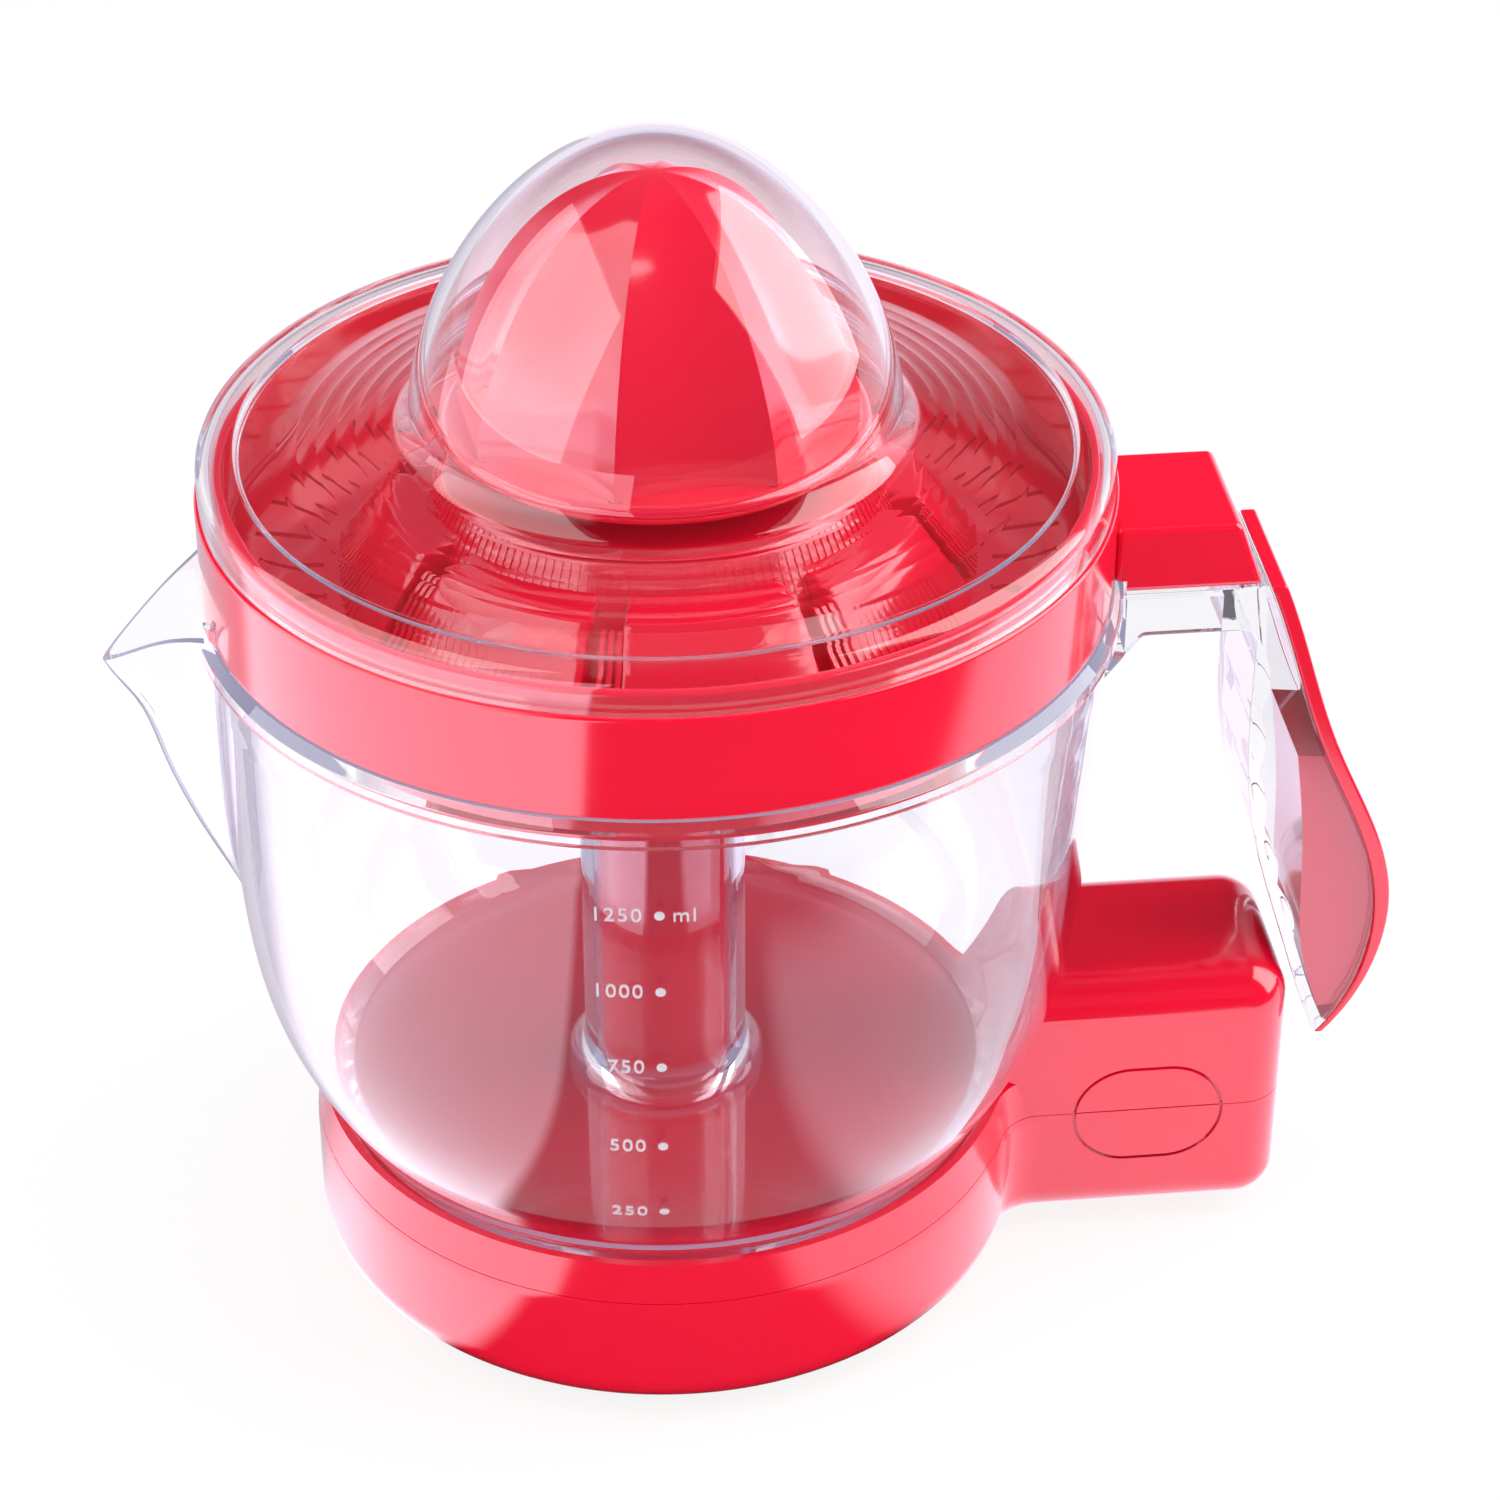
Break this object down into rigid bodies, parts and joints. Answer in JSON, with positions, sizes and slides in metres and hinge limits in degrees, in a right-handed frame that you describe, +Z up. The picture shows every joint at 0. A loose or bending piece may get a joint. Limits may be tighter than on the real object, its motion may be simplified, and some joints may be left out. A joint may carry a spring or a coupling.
{
  "type": "citrus press juicer",
  "caption": "Electric citrus press with a red motor base, clear pouring jug with side handle, strainer bowl, fluted reamer cone and clear domed dust cover.",
  "frame": {"origin": "on the spindle axis, in the plane of the table under the feet", "axes": "+Z up along the spindle, +X towards the handle and motor box, -X towards the spout"},
  "size_m": [0.2257, 0.1586, 0.2166],
  "materials": {
    "red_plastic": "gloss",
    "clear_plastic": "gloss",
    "gear_plastic": "satin",
    "dark_plastic": "satin",
    "steel": "satin",
    "brass": "satin",
    "copper": "gloss",
    "laminations": "satin",
    "magnet": "satin",
    "rubber": "matte"
  },
  "bodies": {
    "base": {"base_lower_shell": "red_plastic", "base_upper_shell": "red_plastic", "housing_screws": "steel", "rubber_feet": "rubber", "cord_gland": "dark_plastic", "upper_bush": "brass", "microswitch": "dark_plastic", "return_spring": "steel", "first_idler_axle": "steel", "second_idler_axle": "steel", "stator_core": "laminations", "stator_coils": "copper", "motor_bracket": "steel", "motor_cap": "steel", "bracket_screws": "steel"},
    "thrust": {"thrust_plunger": "gear_plastic", "switch_button": "gear_plastic"},
    "spindle": {"drive_shaft": "steel", "output_gear": "gear_plastic"},
    "first_idler": {"first_idler_gear": "gear_plastic"},
    "second_idler": {"second_idler_gear": "gear_plastic"},
    "rotor": {"rotor": "magnet", "rotor_shaft": "steel", "motor_pinion": "brass"},
    "jug": {"jug": "clear_plastic", "handle_cover": "red_plastic"},
    "strainer": {"strainer": "red_plastic"},
    "bush": {"drive_bush": "gear_plastic", "bush_clip": "steel"},
    "reamer": {"reamer_cone": "red_plastic"},
    "lid": {"dust_cover": "clear_plastic"}
  },
  "joints": [
    {"name": "spindle_press", "type": "slide", "parent": "base", "child": "thrust", "axis": [0, 0, 1], "range_m": [-0.002, 0], "stiffness_N_per_m": 2000, "springref_m": 0.004, "deforming": ["return_spring"]},
    {"name": "spindle_spin", "type": "hinge", "parent": "thrust", "child": "spindle", "pos_m": [0, 0, 0], "axis": [0, 0, 1], "continuous": true},
    {"name": "first_idler_spin", "type": "hinge", "parent": "base", "child": "first_idler", "pos_m": [0.046, 0, 0], "axis": [0, 0, 1], "continuous": true},
    {"name": "second_idler_spin", "type": "hinge", "parent": "base", "child": "second_idler", "pos_m": [0.0764, 0, 0], "axis": [0, 0, 1], "continuous": true},
    {"name": "rotor_spin", "type": "hinge", "parent": "base", "child": "rotor", "pos_m": [0.0916, 0, 0], "axis": [0, 0, 1], "continuous": true},
    {"name": "jug_lift", "type": "slide", "parent": "base", "child": "jug", "axis": [0, 0, 1], "range_m": [0, 0.12]},
    {"name": "strainer_lift", "type": "slide", "parent": "jug", "child": "strainer", "axis": [0, 0, 1], "range_m": [0, 0.06]},
    {"name": "lid_lift", "type": "slide", "parent": "strainer", "child": "lid", "axis": [0, 0, 1], "range_m": [0, 0.07]},
    {"name": "reamer_spin", "type": "hinge", "parent": "strainer", "child": "bush", "pos_m": [0, 0, 0], "axis": [0, 0, 1], "continuous": true},
    {"name": "reamer_press", "type": "slide", "parent": "bush", "child": "reamer", "axis": [0, 0, 1], "range_m": [-0.002, 0]}
  ],
  "couplings": [
    {"joint": "first_idler_spin", "follows": "spindle_spin", "ratio": -6.6667},
    {"joint": "second_idler_spin", "follows": "spindle_spin", "ratio": 11.429},
    {"joint": "rotor_spin", "follows": "spindle_spin", "ratio": -32},
    {"joint": "reamer_spin", "follows": "spindle_spin", "ratio": 1},
    {"joint": "reamer_press", "follows": "spindle_press", "ratio": 1}
  ]
}
